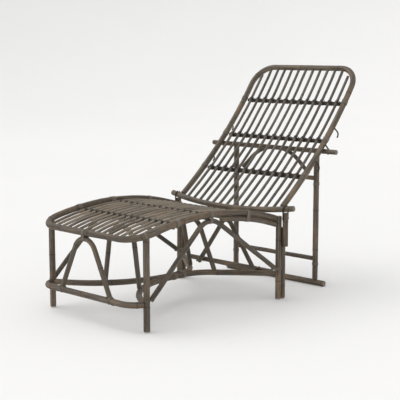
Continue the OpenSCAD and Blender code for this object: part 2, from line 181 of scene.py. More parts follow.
def march(co, tri, p, d, r):
    """The centreline from p towards d, to the end of the pole."""
    line = [p]
    for _ in range(MARCH_LIMIT):
        centre = step_ahead(co, tri, p, d, r)
        if centre is None:
            break
        d = unit(centre - p)
        centre = step_ahead(co, tri, p, d, r)
        if centre is None:
            break
        p = centre
        line.append(p)
    ahead = (co - p) @ d
    beside = np.linalg.norm(co - p - ahead[:, None] * d, axis=1)
    rest = ahead[(beside < 1.3 * r) & (ahead < 3 * MARCH_STEP)].max()
    if rest > 0.2 * MM:
        line.append(p + d * rest)
    return line


def centreline(solid, start=None):
    """(points, radius) of a pole. A pole without flat ends is followed both ways from start."""
    co, tri, ends = solid
    if start is None:
        centre, normal, r = ends[0]
        if len(ends) > 1:
            way = unit(ends[1][0] - centre)
            if way @ normal < -STRAIGHT and way @ ends[1][1] > STRAIGHT:
                return np.linspace(centre, ends[1][0], STRAIGHT_POINTS), r
        line = march(co, tri, centre, -normal, r)
        if len(ends) > 1:
            line = [p for p in line if np.linalg.norm(p - ends[1][0]) > END_GAP] + [ends[1][0]]
        return np.array(line), r
    p, d, r = (np.array(v, float) for v in start)
    p, r = section(co, tri, p, d, CUT_REACH * float(r))
    one, other = march(co, tri, p, d, r), march(co, tri, p, -d, r)
    return np.array(other[::-1] + one[1:]), r


# ---------------------------------------------------------------------------------------------
# Mesh building
# ---------------------------------------------------------------------------------------------


def add_object(name, data):
    obj = bpy.data.objects.new(name, data)
    bpy.context.scene.collection.objects.link(obj)
    return obj


class Shape:
    """Collects rings of points into one mesh, with what the materials read at each point."""

    def __init__(self):
        self.co, self.faces, self.count = [], [], 0
        self.grain, self.mark, self.pith, self.tone = [], [], [], []

    def sheet_of_rings(self, rings, grain, mark, pith, tone, closed_ends=True):
        """rings and grain are (n, sides, 3), mark and pith (n, sides), and tone is one number."""
        n, sides = rings.shape[:2]
        base = self.count
        self.co.append(rings.reshape(-1, 3))
        self.grain.append(grain.reshape(-1, 3))
        self.mark.append(mark.ravel())
        self.pith.append(pith.ravel())
        self.tone.append(np.full(n * sides, tone))
        self.count += n * sides
        i, k = np.meshgrid(np.arange(n - 1), np.arange(sides), indexing="ij")
        a = base + i * sides + k
        b = base + i * sides + (k + 1) % sides
        self.faces.extend(np.stack([a, b, b + sides, a + sides], -1).reshape(-1, 4).tolist())
        if closed_ends:
            self.faces.append(list(range(base + sides - 1, base - 1, -1)))
            last = base + (n - 1) * sides
            self.faces.append(list(range(last, last + sides)))

    def make(self, name, material, body, replaced=()):
        """The piece itself, kept inside the CAD model's box."""
        mesh = bpy.data.meshes.new(name)
        co = np.clip(np.concatenate(self.co), *(np.array(c) for c in cad_bounds))
        mesh.from_pydata(co.tolist(), [], self.faces)
        for label, rows, kind in (
            ("grain", np.concatenate(self.grain), "FLOAT_VECTOR"),
            ("mark", np.concatenate(self.mark), "FLOAT"),
            ("pith", np.concatenate(self.pith), "FLOAT"),
            ("tone", np.concatenate(self.tone), "FLOAT"),
        ):
            layer = mesh.attributes.new(label, kind, "POINT")
            field = "vector" if kind == "FLOAT_VECTOR" else "value"
            layer.data.foreach_set(field, rows.astype(np.float32).ravel())
        mesh.polygons.foreach_set("use_smooth", [True] * len(mesh.polygons))
        mesh.materials.append(material)
        mesh.update()
        obj = add_object(name, mesh)
        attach(obj, body)
        if replaced:
            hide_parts(*replaced)


# A direction whose Z is more than this is too steep to be squared against Z
STEEP = 0.8


def lengths(line):
    """The distance of each point of a polyline from its first."""
    return np.concatenate([[0], np.cumsum(np.linalg.norm(np.diff(line, axis=0), axis=1))])


def along(line, s):
    """Points at distances s along a polyline."""
    at = lengths(line)
    return np.stack([np.interp(s, at, line[:, i]) for i in range(3)], 1)


def frames(points):
    """A unit tangent and a unit normal at each point, carried along without twist."""
    t = np.gradient(points, axis=0)
    t /= np.linalg.norm(t, axis=1)[:, None]
    u = np.array([0, 0, 1] if abs(t[0][2]) < STEEP else [0, 1, 0], float)
    us = []
    for row in t:
        u = unit(u - (u @ row) * row)
        us.append(u)
    return t, np.array(us)


# Rings of a pole about a growth joint, measured from it along the pole
NODE_RINGS = np.array([-8, -5, -3, -1.7, -0.7, 0, 0.6, 1.1, 1.7, 2.6, 4.5, 8]) * MM
NODE_CLEAR = 6 * MM
# The sizes below are those of a pole of this radius, and a thinner one has smaller ones
MODEL_R = 14 * MM
NODE_SCALE_MIN = 0.6
BEVEL, BEVEL_SCALE_MIN = 1.3 * MM, 0.5
# No growth joint is nearer than this to the start or to the end of a pole
FIRST_NODE, LAST_NODE = 0.03, 0.015
# Bark: how far its mean lies inside the CAD radius, its long waves and its ripple round the pole
BARK_INSET, BARK_WAVE, BARK_RIPPLE = 0.5 * MM, 0.16 * MM, 0.045 * MM
# A growth joint is a long swelling with a groove and a dark scar just past its middle
SWELLING, SWELLING_LENGTH = 0.62 * MM, 4.2 * MM
GROOVE, GROOVE_LENGTH, SCAR_LENGTH, GROOVE_AT = 0.42 * MM, 0.75 * MM, 1.5 * MM, 0.8 * MM
# Over this length from each end the centreline comes back to its course
WANDER_EASE = 0.05
ANY_PHASE = (0, 6.3)


def growth_joints(total, gap, rng):
    """The growth joints of a pole: [(place along it, which way its scar slants, by how much)]."""
    joints, at = [], rng.uniform(FIRST_NODE, gap[1])
    while at < total - LAST_NODE:
        joints.append((at, rng.uniform(0, TURN), rng.uniform(0.4, 1.3) * MM))
        at += rng.uniform(*gap)
    return joints


def ring_places(total, joints, spacing, scale, bevel):
    """Distances of a pole's rings along it, closer at its joints and at its bevelled ends."""
    s = np.linspace(0, total, max(3, int(total / spacing) + 1))
    for at, _, _ in joints:
        s = s[np.abs(s - at) > NODE_CLEAR]
        s = np.concatenate([s, at + NODE_RINGS * max(scale, NODE_SCALE_MIN)])
    s = np.unique(np.round(s[(s >= 0) & (s <= total)], 5))
    s = s[np.concatenate([[True], np.diff(s) > 0.25 * MM])]
    s = s[(s > bevel * 1.2) & (s < total - bevel * 1.2)]
    return np.concatenate([[0, 0, bevel * 0.35, bevel], s,
                           [total - bevel, total - bevel * 0.35, total, total]])


def along_rows(s, rows, total):
    """Unit vectors known at even steps along a line of length total, at distances s."""
    even = np.linspace(0, total, len(rows))
    got = np.stack([np.interp(s, even, rows[:, i]) for i in range(3)], 1)
    return got / np.linalg.norm(got, axis=1)[:, None]


def wander(points, axes, s, total, wobble, rng):
    """Lets a centreline wander slowly off its course, and not at its ends."""
    envelope = np.clip(np.minimum(s, total - s) / WANDER_EASE, 0, 1)
    for axis in axes:
        f1, f2 = rng.uniform(2.2, 4.2), rng.uniform(5, 8)
        p1, p2 = rng.uniform(*ANY_PHASE), rng.uniform(*ANY_PHASE)
        amount = np.sin(TURN * f1 * s + p1) + 0.4 * np.sin(TURN * f2 * s + p2)
        points = points + axis * (amount * envelope * wobble * 0.6 * MM)[:, None]
    return points


def bark(ss, th, r, scale, joints, rng):
    """A pole's radius and its scars at distances ss and angles th."""
    radius = np.full_like(ss, r - BARK_INSET * scale)
    slow = rng.uniform(*ANY_PHASE)
    waves = np.sin(ss * 21 + slow) + np.sin(ss * 9 + 2 * th + slow * 1.7) * 0.8 - 1
    radius += BARK_WAVE * scale * waves
    for k in range(2, 5):
        phase, twist = rng.uniform(*ANY_PHASE), rng.uniform(3, 9)
        radius += BARK_RIPPLE * scale * np.sin(k * th + phase + ss * twist)
    mark = np.zeros_like(ss)
    for at, turn, skew in joints:
        x = ss - at - skew * np.cos(th - turn)
        radius += SWELLING * scale * np.exp(-((x / SWELLING_LENGTH) ** 2))
        x = x - GROOVE_AT
        radius -= GROOVE * max(scale, NODE_SCALE_MIN) * np.exp(-((x / GROOVE_LENGTH) ** 2))
        mark = np.maximum(mark, np.exp(-((x / SCAR_LENGTH) ** 2)))
    return np.minimum(radius, r), mark


def pole(shape, line, r, rng, wobble, sides=18, spacing=8 * MM, joint_gap=(0.17, 0.31)):
    """A rattan pole: rings with a scar at each growth joint, an uneven bark and cut ends."""
    total = lengths(line)[-1]
    scale = r / MODEL_R
    bevel = BEVEL * max(scale, BEVEL_SCALE_MIN)
    joints = growth_joints(total, joint_gap, rng)
    s = ring_places(total, joints, spacing, scale, bevel)
    points = along(line, s)
    t, u = frames(along(line, np.linspace(0, total, len(s))))
    t = along_rows(s, t, total)
    u = along_rows(s, u, total)
    u -= (u * t).sum(1)[:, None] * t
    u /= np.linalg.norm(u, axis=1)[:, None]
    v = np.cross(t, u)
    if wobble:
        points = wander(points, (u, v), s, total, wobble, rng)
    ss, th = np.meshgrid(s, np.arange(sides) * TURN / sides, indexing="ij")
    radius, mark = bark(ss, th, r, scale, joints, rng)
    # The first and last rings are points, which close the cut faces
    edge = np.ones(len(s))
    edge[[0, -1]] = 0.0
    edge[[1, -2]] = 1 - bevel / r
    edge[[2, -3]] = 1 - 0.3 * bevel / r
    edge = edge[:, None]
    radius *= edge
    pith = np.zeros_like(ss)
    pith[[0, 1, -2, -1]] = 1
    rings = (points[:, None]
             + u[:, None] * (radius * np.cos(th))[..., None]
             + v[:, None] * (radius * np.sin(th))[..., None])
    offset = rng.uniform(0, 40)
    shift = rng.uniform(-5, 5), rng.uniform(-5, 5)
    flat = np.where(edge < 0.99, edge, 1.0)
    grain = np.stack([r * np.cos(th) * flat + shift[0], r * np.sin(th) * flat + shift[1],
                      ss + offset], -1)
    shape.sheet_of_rings(rings, grain, mark, pith, rng.uniform(0, 1), closed_ends=False)


# Outline of a strip of peel, across it and out from the pole, for a width and thickness of 1
STRIP = np.array([(-0.5, -0.5), (0.5, -0.5), (0.5, 0.05), (0.34, 0.5), (-0.34, 0.5), (-0.5, 0.05)])
# The sides and underside of a strip, where it meets the next turn and the pole, are darkened by
# this much: painted shade between the turns
STRIP_SIDE_PAINTED_SHADE = 0.7
# Turns of a strip lie this many widths apart
TURN_PITCH = 1.02


def ribbon(shape, path, outward, side, width, thick, tone, offset):
    """A strip of peel laid along a path: outward and side are unit vectors at each point."""
    outline = STRIP * [width, thick]
    rings = (path[:, None] + side[:, None] * outline[None, :, 0, None]
             + outward[:, None] * outline[None, :, 1, None])
    n, k = rings.shape[:2]
    grain = np.empty((n, k, 3))
    grain[..., 0] = outline[None, :, 0] + offset
    grain[..., 1] = outline[None, :, 1] + offset * 1.7
    grain[..., 2] = lengths(path)[:, None] + offset
    # Painted shade: the sides and underside of the strip are marked dark, in the same way as a
    # pole's scars
    edge = np.tile(np.abs(STRIP[:, 0]) > 0.45, (n, 1)).astype(float) * STRIP_SIDE_PAINTED_SHADE
    shape.sheet_of_rings(rings, grain, edge, np.zeros((n, k)), tone)


def wind(shape, origin, axis, u, v, ovals, width, rng, strip, thick, per_turn=26, proud=0.0):
    """Winds one strip of peel round the ovals [(u, v, half width, half height)], along axis."""
    origin, axis, u, v = (np.array(x, float) for x in (origin, axis, u, v))
    turns = max(1, round((width - strip) / (strip * TURN_PITCH))) if width > strip else 1
    start = rng.uniform(0, TURN)
    phi = np.linspace(0, turns * TURN, turns * per_turn + 1)
    across = np.linspace(-0.5, 0.5, len(phi)) * max(0.0, width - strip)
    e = np.stack([np.cos(phi + start), np.sin(phi + start)], 1)
    # At each angle the strip lies on the oval that reaches furthest out
    best = np.full(len(phi), -np.inf)
    spot = np.zeros((len(phi), 2))
    for cu, cv, au, av in ovals:
        h = np.sqrt((au * e[:, 0]) ** 2 + (av * e[:, 1]) ** 2)
        reach = cu * e[:, 0] + cv * e[:, 1] + h
        p = np.stack([cu + au * au * e[:, 0] / h, cv + av * av * e[:, 1] / h], 1)
        take = reach > best
        best[take] = reach[take]
        spot[take] = p[take]
    lift = thick / 2 + proud + rng.uniform(-0.05, 0.05) * MM
    lift = lift + 0.08 * MM * np.sin(phi * 2.3 + start)
    spot = spot + e * lift[:, None]
    path = origin + spot[:, :1] * u + spot[:, 1:] * v + across[:, None] * axis
    outward = e[:, :1] * u + e[:, 1:] * v
    ribbon(shape, path, outward, np.tile(axis, (len(phi), 1)), strip, thick,
           rng.uniform(0, 1), rng.uniform(0, 30))


def cross_lash(shape, a, b, rng, strip, thick, width, per_turn):
    """Ties two poles that cross or butt, each (point, direction, radius), with an X of peel."""
    (pa, da, ra), (pb, db, rb) = a, b
    n = unit(np.cross(da, db))
    apart = pb - pa
    for sign in (1, -1):
        q = unit(da + sign * db)
        axis = np.cross(q, n)
        sa, sb = (max(0.5, np.linalg.norm(np.cross(q, d))) for d in (da, db))
        wind(shape, pa + axis * (axis @ apart) / 2, axis, q, n,
             [(0, 0, ra / sa, ra), (q @ apart, n @ apart, rb / sb, rb)],
             width, rng, strip, thick, per_turn=per_turn, proud=0.05 * MM * (1 + sign))


# ---------------------------------------------------------------------------------------------
# Materials
# ---------------------------------------------------------------------------------------------

# Brightness of the fine fibres, the slow clouding and the dark specks, by place on their noise
FIBRE_STOPS = ((0.32, 0.55), (0.5, 0.95), (0.7, 1.15))
CLOUD_STOPS = ((0.3, 0.74), (0.7, 1.18))
SPECK_STOPS = ((0.27, 0.35), (0.36, 1.0))
# Tint of a whole piece, from the darkest to the palest
TONE_STOPS = ((0.0, (0.84, 0.83, 0.82)), (1.0, (1.16, 1.15, 1.12)))
PITH = (0.2, 0.165, 0.12)
PORES = 900.0
# How dark a growth joint's scar is. The same darkening also gives the painted shade on the sides
# and underside of peel strips
SCAR_AND_STRIP_SHADE_DARKNESS, SCAR_ROUGHNESS = 0.72, 0.85


def new_material(name):
    mat = bpy.data.materials.new(name)
    mat.use_nodes = True
    nt = mat.node_tree
    nt.nodes.clear()
    out = nt.nodes.new("ShaderNodeOutputMaterial")
    bsdf = nt.nodes.new("ShaderNodeBsdfPrincipled")
    nt.links.new(bsdf.outputs["BSDF"], out.inputs["Surface"])
    return mat, nt, bsdf


def node(nt, kind, values=(), **settings):
    n = nt.nodes.new(kind)
    for key, value in settings.items():
        setattr(n, key, value)
    for key, value in dict(values).items():
        n.inputs[key].default_value = value
    return n


def attribute(nt, name, output="Fac"):
    return node(nt, "ShaderNodeAttribute", attribute_name=name).outputs[output]


def stretched_noise(nt, vector, scale, detail, rough, shift=0.0):
    """Noise stretched along the fibres by a different scale on each axis."""
    place = node(nt, "ShaderNodeMapping",
                 {"Scale": scale, "Location": (shift, shift * 1.3, shift * 0.7)})
    tex = node(nt, "ShaderNodeTexNoise", {"Scale": 1.0, "Detail": detail, "Roughness": rough})
    nt.links.new(vector, place.inputs["Vector"])
    nt.links.new(place.outputs["Vector"], tex.inputs["Vector"])
    return tex.outputs["Fac"]


def object_noise(nt, scale, detail):
    coords = node(nt, "ShaderNodeTexCoord")
    tex = node(nt, "ShaderNodeTexNoise", {"Scale": scale, "Detail": detail})
    nt.links.new(coords.outputs["Object"], tex.inputs["Vector"])
    return tex.outputs["Fac"]


def ramp(nt, fac, stops):
    """A colour ramp through [(place, colour or grey level)]."""
    r = node(nt, "ShaderNodeValToRGB")
    while len(r.color_ramp.elements) < len(stops):
        r.color_ramp.elements.new(0.5)
    for element, (at, colour) in zip(r.color_ramp.elements, stops):
        element.position = at
        element.color = (*(colour if isinstance(colour, tuple) else grey(colour)), 1)
    nt.links.new(fac, r.inputs["Fac"])
    return r.outputs["Color"]


def mix(nt, kind, fac, a, b):
    m = node(nt, "ShaderNodeMix", data_type="RGBA", blend_type=kind)
    for socket, value in ((m.inputs["Factor"], fac), (m.inputs["A"], a), (m.inputs["B"], b)):
        if isinstance(value, (int, float)):
            socket.default_value = value
        elif isinstance(value, tuple):
            socket.default_value = (*value, 1)
        else:
            nt.links.new(value, socket)
    return m.outputs["Result"]


def maths(nt, kind, a, b):
    m = node(nt, "ShaderNodeMath", operation=kind)
    for socket, value in zip(m.inputs, (a, b)):
        if isinstance(value, (int, float)):
            socket.default_value = value
        else:
            nt.links.new(value, socket)
    return m.outputs["Value"]


def bump(nt, bsdf, height, strength, distance):
    b = node(nt, "ShaderNodeBump", {"Strength": strength, "Distance": distance})
    nt.links.new(height, b.inputs["Height"])
    nt.links.new(b.outputs["Normal"], bsdf.inputs["Normal"])


def grey(value):
    return (value, value, value)


def scaled(colour, factor):
    return tuple(c * factor for c in colour)


def rattan(name, dark, mid, light, tan, worn, rough=0.52):
    """Stained rattan: streaks from dark to light, tan where it is worn, scars, painted shade on the
    sides and underside of peel strips, and cut ends.
    """
    mat, nt, bsdf = new_material(name)
    grain = attribute(nt, "grain", "Vector")
    mark, pith, tone = (attribute(nt, label) for label in ("mark", "pith", "tone"))
    streak = stretched_noise(nt, grain, (210, 210, 7), 4, 0.6)
    fine = stretched_noise(nt, grain, (1500, 1500, 26), 2, 0.6, 3)
    patch = stretched_noise(nt, grain, (38, 38, 9), 4, 0.62, 7)
    cloud = stretched_noise(nt, grain, (12, 12, 3.2), 2, 0.5, 11)
    speck = stretched_noise(nt, grain, (620, 620, 240), 2, 0.5, 17)
    base = ramp(nt, streak, [(0.3, dark), (0.5, mid), (0.72, light)])
    tan_fac = ramp(nt, patch, [(0.5, 0), (0.62, worn), (0.8, min(1.0, worn * 1.9))])
    base = mix(nt, "MIX", tan_fac, base, tan)
    for strength, source, stops in ((0.8, fine, FIBRE_STOPS), (0.9, cloud, CLOUD_STOPS),
                                    (1.0, tone, TONE_STOPS), (0.75, speck, SPECK_STOPS)):
        base = mix(nt, "MULTIPLY", strength, base, ramp(nt, source, stops))
    # On a pole the mark is a growth joint's scar. On a strip of peel it is the painted shade
    # between the turns
    scar = maths(nt, "MULTIPLY", mark, SCAR_AND_STRIP_SHADE_DARKNESS)
    base = mix(nt, "MIX", scar, base, scaled(dark, 0.38))
    pores = node(nt, "ShaderNodeTexVoronoi", {"Scale": PORES}, feature="F1")
    nt.links.new(grain, pores.inputs["Vector"])
    cut = ramp(nt, pores.outputs["Distance"], [(0.12, scaled(PITH, 0.25)), (0.42, PITH)])
    base = mix(nt, "MIX", pith, base, cut)
    nt.links.new(base, bsdf.inputs["Base Color"])
    shine = ramp(nt, patch, [(0.3, rough - 0.08), (0.75, rough + 0.16)])
    shine = mix(nt, "MIX", scar, shine, grey(SCAR_ROUGHNESS))
    nt.links.new(shine, bsdf.inputs["Roughness"])
    bsdf.inputs["Specular IOR Level"].default_value = 0.42
    height = maths(nt, "ADD", maths(nt, "MULTIPLY", fine, 0.55), maths(nt, "MULTIPLY", streak, 0.8))
    height = maths(nt, "ADD", height, maths(nt, "MULTIPLY", speck, 0.25))
    bump(nt, bsdf, height, 0.75, 0.6 * MM)
    return mat


def iron(name):
    """Blackened iron with brown wear and a hammered, slightly pitted surface."""
    mat, nt, bsdf = new_material(name)
    wear = object_noise(nt, 160, 5)
    pits = object_noise(nt, 900, 3)
    colour = ramp(nt, wear, [(0.42, (0.007, 0.0065, 0.006)), (0.58, (0.018, 0.015, 0.013)),
                             (0.72, (0.07, 0.038, 0.02))])
    nt.links.new(colour, bsdf.inputs["Base Color"])
    nt.links.new(ramp(nt, wear, [(0.4, 0.42), (0.7, 0.75)]), bsdf.inputs["Roughness"])
    bsdf.inputs["Metallic"].default_value = 0.3
    bump(nt, bsdf, pits, 0.5, 0.4 * MM)
    return mat


def glide_plastic(name):
    """Pale grey plastic, scuffed and dusty in patches."""
    mat, nt, bsdf = new_material(name)
    dirt = object_noise(nt, 240, 5)
    fine = object_noise(nt, 1400, 2)
    colour = ramp(nt, dirt, [(0.3, (0.3, 0.28, 0.25)), (0.55, (0.52, 0.5, 0.47)),
                             (0.8, (0.6, 0.59, 0.56))])
    nt.links.new(colour, bsdf.inputs["Base Color"])
    nt.links.new(ramp(nt, dirt, [(0.3, 0.7), (0.7, 0.48)]), bsdf.inputs["Roughness"])
    bump(nt, bsdf, fine, 0.3, 0.3 * MM)
    return mat


# Each rattan's dark, middle and light streaks, its worn tan, how worn it is, and its roughness
POLE = rattan("rattan_pole", (0.042, 0.033, 0.023), (0.098, 0.077, 0.055),
              (0.194, 0.159, 0.116), (0.24, 0.158, 0.09), 0.45)
BRACE = rattan("rattan_brace", (0.04, 0.032, 0.023), (0.086, 0.07, 0.051),
               (0.17, 0.142, 0.107), (0.18, 0.126, 0.077), 0.34)
SEAT_CANE = rattan("rattan_seat_cane", (0.105, 0.086, 0.064), (0.215, 0.183, 0.142),
                   (0.37, 0.325, 0.262), (0.32, 0.24, 0.162), 0.44)
BACK_CANE = rattan("rattan_back_cane", (0.062, 0.054, 0.043), (0.112, 0.098, 0.08),
                   (0.19, 0.168, 0.138), (0.17, 0.135, 0.097), 0.26)
DARK = rattan("rattan_crossbar", (0.024, 0.019, 0.014), (0.045, 0.036, 0.027),
              (0.085, 0.07, 0.053), (0.08, 0.058, 0.038), 0.25)
PEEL = rattan("peel_binding", (0.085, 0.07, 0.052), (0.15, 0.126, 0.097),
              (0.235, 0.202, 0.16), (0.22, 0.165, 0.112), 0.3, 0.46)
DARK_PEEL = rattan("dark_peel_lashing", (0.02, 0.015, 0.01), (0.04, 0.031, 0.023),
                   (0.08, 0.065, 0.049), (0.07, 0.05, 0.033), 0.3)
IRON = iron("blackened_iron")
GLIDE = glide_plastic("glide_plastic")

# ---------------------------------------------------------------------------------------------
# Poles and canes
# ---------------------------------------------------------------------------------------------

SEAT_POLES = ["seat_rim", "lower_rail_left", "lower_rail_right", "rear_rail", "mid_rail",
              "front_leg_left", "front_leg_right", "rear_leg_left", "rear_leg_right",
              "rear_doubler_left", "rear_doubler_right", "pivot_post_left", "pivot_post_right",
              "front_stretcher", "side_stretcher_left", "side_stretcher_right", "rear_stretcher",
              "front_arch", "rear_arch", "side_arch_left", "side_arch_right",
              "front_inner_arch", "rear_inner_arch"]
BACK_POLES = ["back_hoop", "pivot_bar"]
STAND_POLES = ["stand_top_bar", "stand_post_left", "stand_post_right", "stand_brace",
               "stand_upper_rung", "stand_lower_rung", "stand_base_bar"]
CROSSBARS = {"seat": ["deck_crossbar_front", "deck_crossbar_middle", "deck_crossbar_rear"],
             "back": ["back_crossbar_low", "back_crossbar_middle", "back_crossbar_high"]}
BRACES = {"rear_rail", "mid_rail", "front_arch", "rear_arch", "side_arch_left", "side_arch_right",
          "front_inner_arch", "rear_inner_arch", "stand_brace"}
# Poles whose hollow-cut ends hide their centreline: the arch is followed from its top, and the
# legs are upright
HOLLOW_ARCH = "front_arch"
HOLLOW_LEGS = {"front_leg_left", "front_leg_right"}
# Poles that touch the model's box or run close beside another body, so they don't wander
STILL = {"pivot_bar", "stand_top_bar", "back_hoop", "stand_base_bar", "front_stretcher"}
POLE_WOBBLE = 0.45
CANE_LOOK = {"sides": 12, "spacing": 11 * MM, "joint_gap": (0.15, 0.29), "wobble": 0.9}
# Arches whose feet are let into the stretchers below them, and how far, in mm
LET_IN = ["front_inner_arch", "rear_inner_arch"]
LET_IN_BY = 6


def pole_line(name):
    """(points, radius) of a pole that is one solid."""
    lo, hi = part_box(name)
    x, y = (lo.x + hi.x) / 2, (lo.y + hi.y) / 2
    if name in HOLLOW_LEGS:
        return np.linspace((x, y, lo.z), (x, y, hi.z), STRAIGHT_POINTS), (hi.x - lo.x) / 2
    start = None
    if name == HOLLOW_ARCH:
        r = (hi.y - lo.y) / 2
        start = (x, y, hi.z - r), (1, 0, 0), r
    return centreline(solids(name)[0], start)


lines = {name: pole_line(name) for name in
         SEAT_POLES + BACK_POLES + STAND_POLES + CROSSBARS["seat"] + CROSSBARS["back"]}
for name in LET_IN:
    line, r = lines[name]
    first, last = (end + unit(end - inner) * LET_IN_BY * MM
                   for end, inner in ((line[0], line[1]), (line[-1], line[-2])))
    lines[name] = np.vstack([first, line[1:-1], last]), r

# Each pole, each set of canes and each crossbar has a seed of its own, counted on from this one
seed = 100
for body, names in (("seat", SEAT_POLES), ("back", BACK_POLES), ("stand", STAND_POLES)):
    for name in names:
        seed += 1
        shape = Shape()
        pole(shape, *lines[name], random.Random(seed),
             wobble=0.0 if name in STILL else POLE_WOBBLE)
        brace = name in BRACES
        shape.make(name + "_rattan", BRACE if brace else POLE, body,
                   [name])

canes = {}
for body, name, material, slot in (("seat", "deck_canes", SEAT_CANE, "rattan_seat_cane"),
                                   ("back", "back_canes", BACK_CANE, "rattan_back_cane")):
    canes[body] = [centreline(solid) for solid in solids(name)]
    shape = Shape()
    for i, (line, r) in enumerate(canes[body]):
        pole(shape, line, r, random.Random(seed * 7 + i), **CANE_LOOK)
    shape.make(name + "_rattan", material, body, [name])
    seed += 1

# ---------------------------------------------------------------------------------------------
# Crossbars wound with dark peel, and the knots that tie each cane to them
# ---------------------------------------------------------------------------------------------

# The gap between a crossbar and its winding, and how much shorter than the bar the winding is
WINDING_GAP = 0.5 * MM
WINDING_SHORT = 2 * MM
WINDING = {"strip": 5.2 * MM, "thick": 1.2 * MM, "per_turn": 12}
CANE_KNOT = {"strip": 3.7 * MM, "thick": 1.3 * MM, "width": 11 * MM, "per_turn": 16}
KNOT_SEED = 904
# Steps of the lines on which the closest points are looked for
FINE, MEDIUM, COARSE = 1.5 * MM, 3 * MM, 4 * MM


def nearest(line, p):
    """Index of the point of a line nearest to p."""
    return int(np.linalg.norm(line - p, axis=1).argmin())


def tangent_at(line, i):
    return unit(line[min(i + 1, len(line) - 1)] - line[max(i - 1, 0)])


def closest(line_a, line_b):
    """The closest points of two dense lines, each with its direction."""
    gap = np.linalg.norm(line_a[:, None] - line_b[None], axis=2)
    i, j = np.unravel_index(gap.argmin(), gap.shape)
    return line_a[i], tangent_at(line_a, i), line_b[j], tangent_at(line_b, j)


def dense(line, step):
    total = lengths(line)[-1]
    return along(line, np.linspace(0, total, int(total / step) + 2))


for body, names in CROSSBARS.items():
    knots = Shape()
    rng = random.Random(KNOT_SEED)
    for name in names:
        seed += 1
        line, r = lines[name]
        shape = Shape()
        pole(shape, line, r, random.Random(seed), sides=12, wobble=0.0)
        a, b = line[0], line[-1]
        axis = unit(b - a)
        up = np.array([0, 0, 1.0])
        wound_r = r + WINDING_GAP
        wind(shape, (a + b) / 2, axis, np.cross(axis, up), up, [(0, 0, wound_r, wound_r)],
             np.linalg.norm(b - a) - WINDING_SHORT, rng, **WINDING)
        shape.make(name + "_wound", DARK, body, [name])
        bar = dense(line, FINE)
        for cane, cane_r in canes[body]:
            at_cane, cane_way, at_bar, bar_way = closest(dense(cane, COARSE), bar)
            cross_lash(knots, (at_cane, cane_way, cane_r), (at_bar, bar_way, r), rng, **CANE_KNOT)
    knots.make(body + "_cane_lashings", DARK_PEEL, body)

# ---------------------------------------------------------------------------------------------
# Peel windings over the joints
# ---------------------------------------------------------------------------------------------

# Poles are wound together when the cosine between their directions is more than this
SAME_WAY = 0.9
BUNDLE_PROUD = 0.15 * MM
CAD_WINDING_THICK = 0.8 * MM
# How far from a foot its brace's direction is read, and how far up its knot lies, in mm
FOOT_RUN = 14
FOOT_KNOT_UP = 6
# A foot belongs to a pole when it is no further from its axis than its radius and this many
# radii of the brace
FOOT_REACH = 3.4
FOOT_KNOT = {"strip": 3.6 * MM, "thick": 1.0 * MM, "width": 11 * MM, "per_turn": 26}


def bundle(shape, centre, axis, members, width, rng, strip=4.2 * MM, thick=1.1 * MM):
    """Winds peel round the poles [(point, radius)] that run side by side along axis."""
    axis = unit(np.array(axis, float))
    u = unit(np.cross(axis, [0, 0, 1.0] if abs(axis[2]) < STEEP else [0, 1.0, 0]))
    v = np.cross(axis, u)
    ovals = [((p - centre) @ u, (p - centre) @ v, r, r) for p, r in members]
    wind(shape, centre, axis, u, v, ovals, width, rng, strip, thick, proud=BUNDLE_PROUD)


def cad_windings(node_name, body, poles, width, own_seed):
    """Real windings in place of the plain CAD ones: each goes round the poles that it holds."""
    shape = Shape()
    rng = random.Random(own_seed)
    for co, _, _ in solids(node_name):
        lo, hi = co.min(0), co.max(0)
        centre, size = (lo + hi) / 2, hi - lo
        held = []
        for name in poles:
            line, r = lines[name]
            line = dense(line, MEDIUM)
            i = nearest(line, centre)
            inside = np.linalg.norm(line[i] - centre) < max(size) / 2 + 4 * MM
            if inside and (np.abs(line[i] - centre) < size / 2 + r).all():
                held.append((line[i], tangent_at(line, i), r))
        held.sort(key=lambda h: np.linalg.norm(h[0] - centre))
        # The main pole is the thickest, or the nearest of those
        middle, way, _ = max(held, key=lambda h: round(h[2], 4))
        beside = [(p, r) for p, d, r in held if abs(d @ way) > SAME_WAY]
        bundle(shape, middle, way, beside, width, rng, thick=CAD_WINDING_THICK)
    shape.make(node_name + "_wound", PEEL, body, [node_name])


cad_windings("seat_bindings", "seat", SEAT_POLES, 24 * MM, 41)
cad_windings("back_bindings", "back", ["back_hoop"], 24 * MM, 42)
cad_windings("stand_bindings", "stand", ["stand_post_left", "stand_post_right"], 18 * MM, 43)


def feet(brace, base):
    """Where a brace's feet meet its base: [((point, direction, r), (point, direction, r))]."""
    line, r = lines[brace]
    bar, bar_r = lines[base]
    bar = dense(bar, MEDIUM)
    found = []
    for way in (line, line[::-1]):
        foot = way[0]
        i = nearest(bar, foot)
        if np.linalg.norm(bar[i] - foot) < bar_r + FOOT_REACH * r:
            up = unit(along(way, [FOOT_RUN * MM])[0] - foot)
            found.append(((foot + up * FOOT_KNOT_UP * MM, up, r),
                          (bar[i], tangent_at(bar, i), bar_r)))
    return found


knots = Shape()
rng = random.Random(77)
for brace, base in (("front_arch", "front_stretcher"), ("rear_arch", "rear_stretcher")):
    for at_foot, at_base in feet(brace, base):
        cross_lash(knots, at_foot, at_base, rng, **FOOT_KNOT)
# The rear feet of the side arches are wound to the legs that they run beside
for side in ("left", "right"):
    for (p, _, r), (q, way, leg_r) in feet("side_arch_" + side, "rear_leg_" + side):
        bundle(knots, q, way, [(q, leg_r), (p, r)], 17 * MM, rng)
# A narrow band goes round each front leg where the side arch meets it
for side in ("left", "right"):
    for _, (q, way, leg_r) in feet("side_arch_" + side, "front_leg_" + side):
        bundle(knots, q, way, [(q, leg_r)], 7 * MM, rng, strip=3.2 * MM, thick=0.8 * MM)
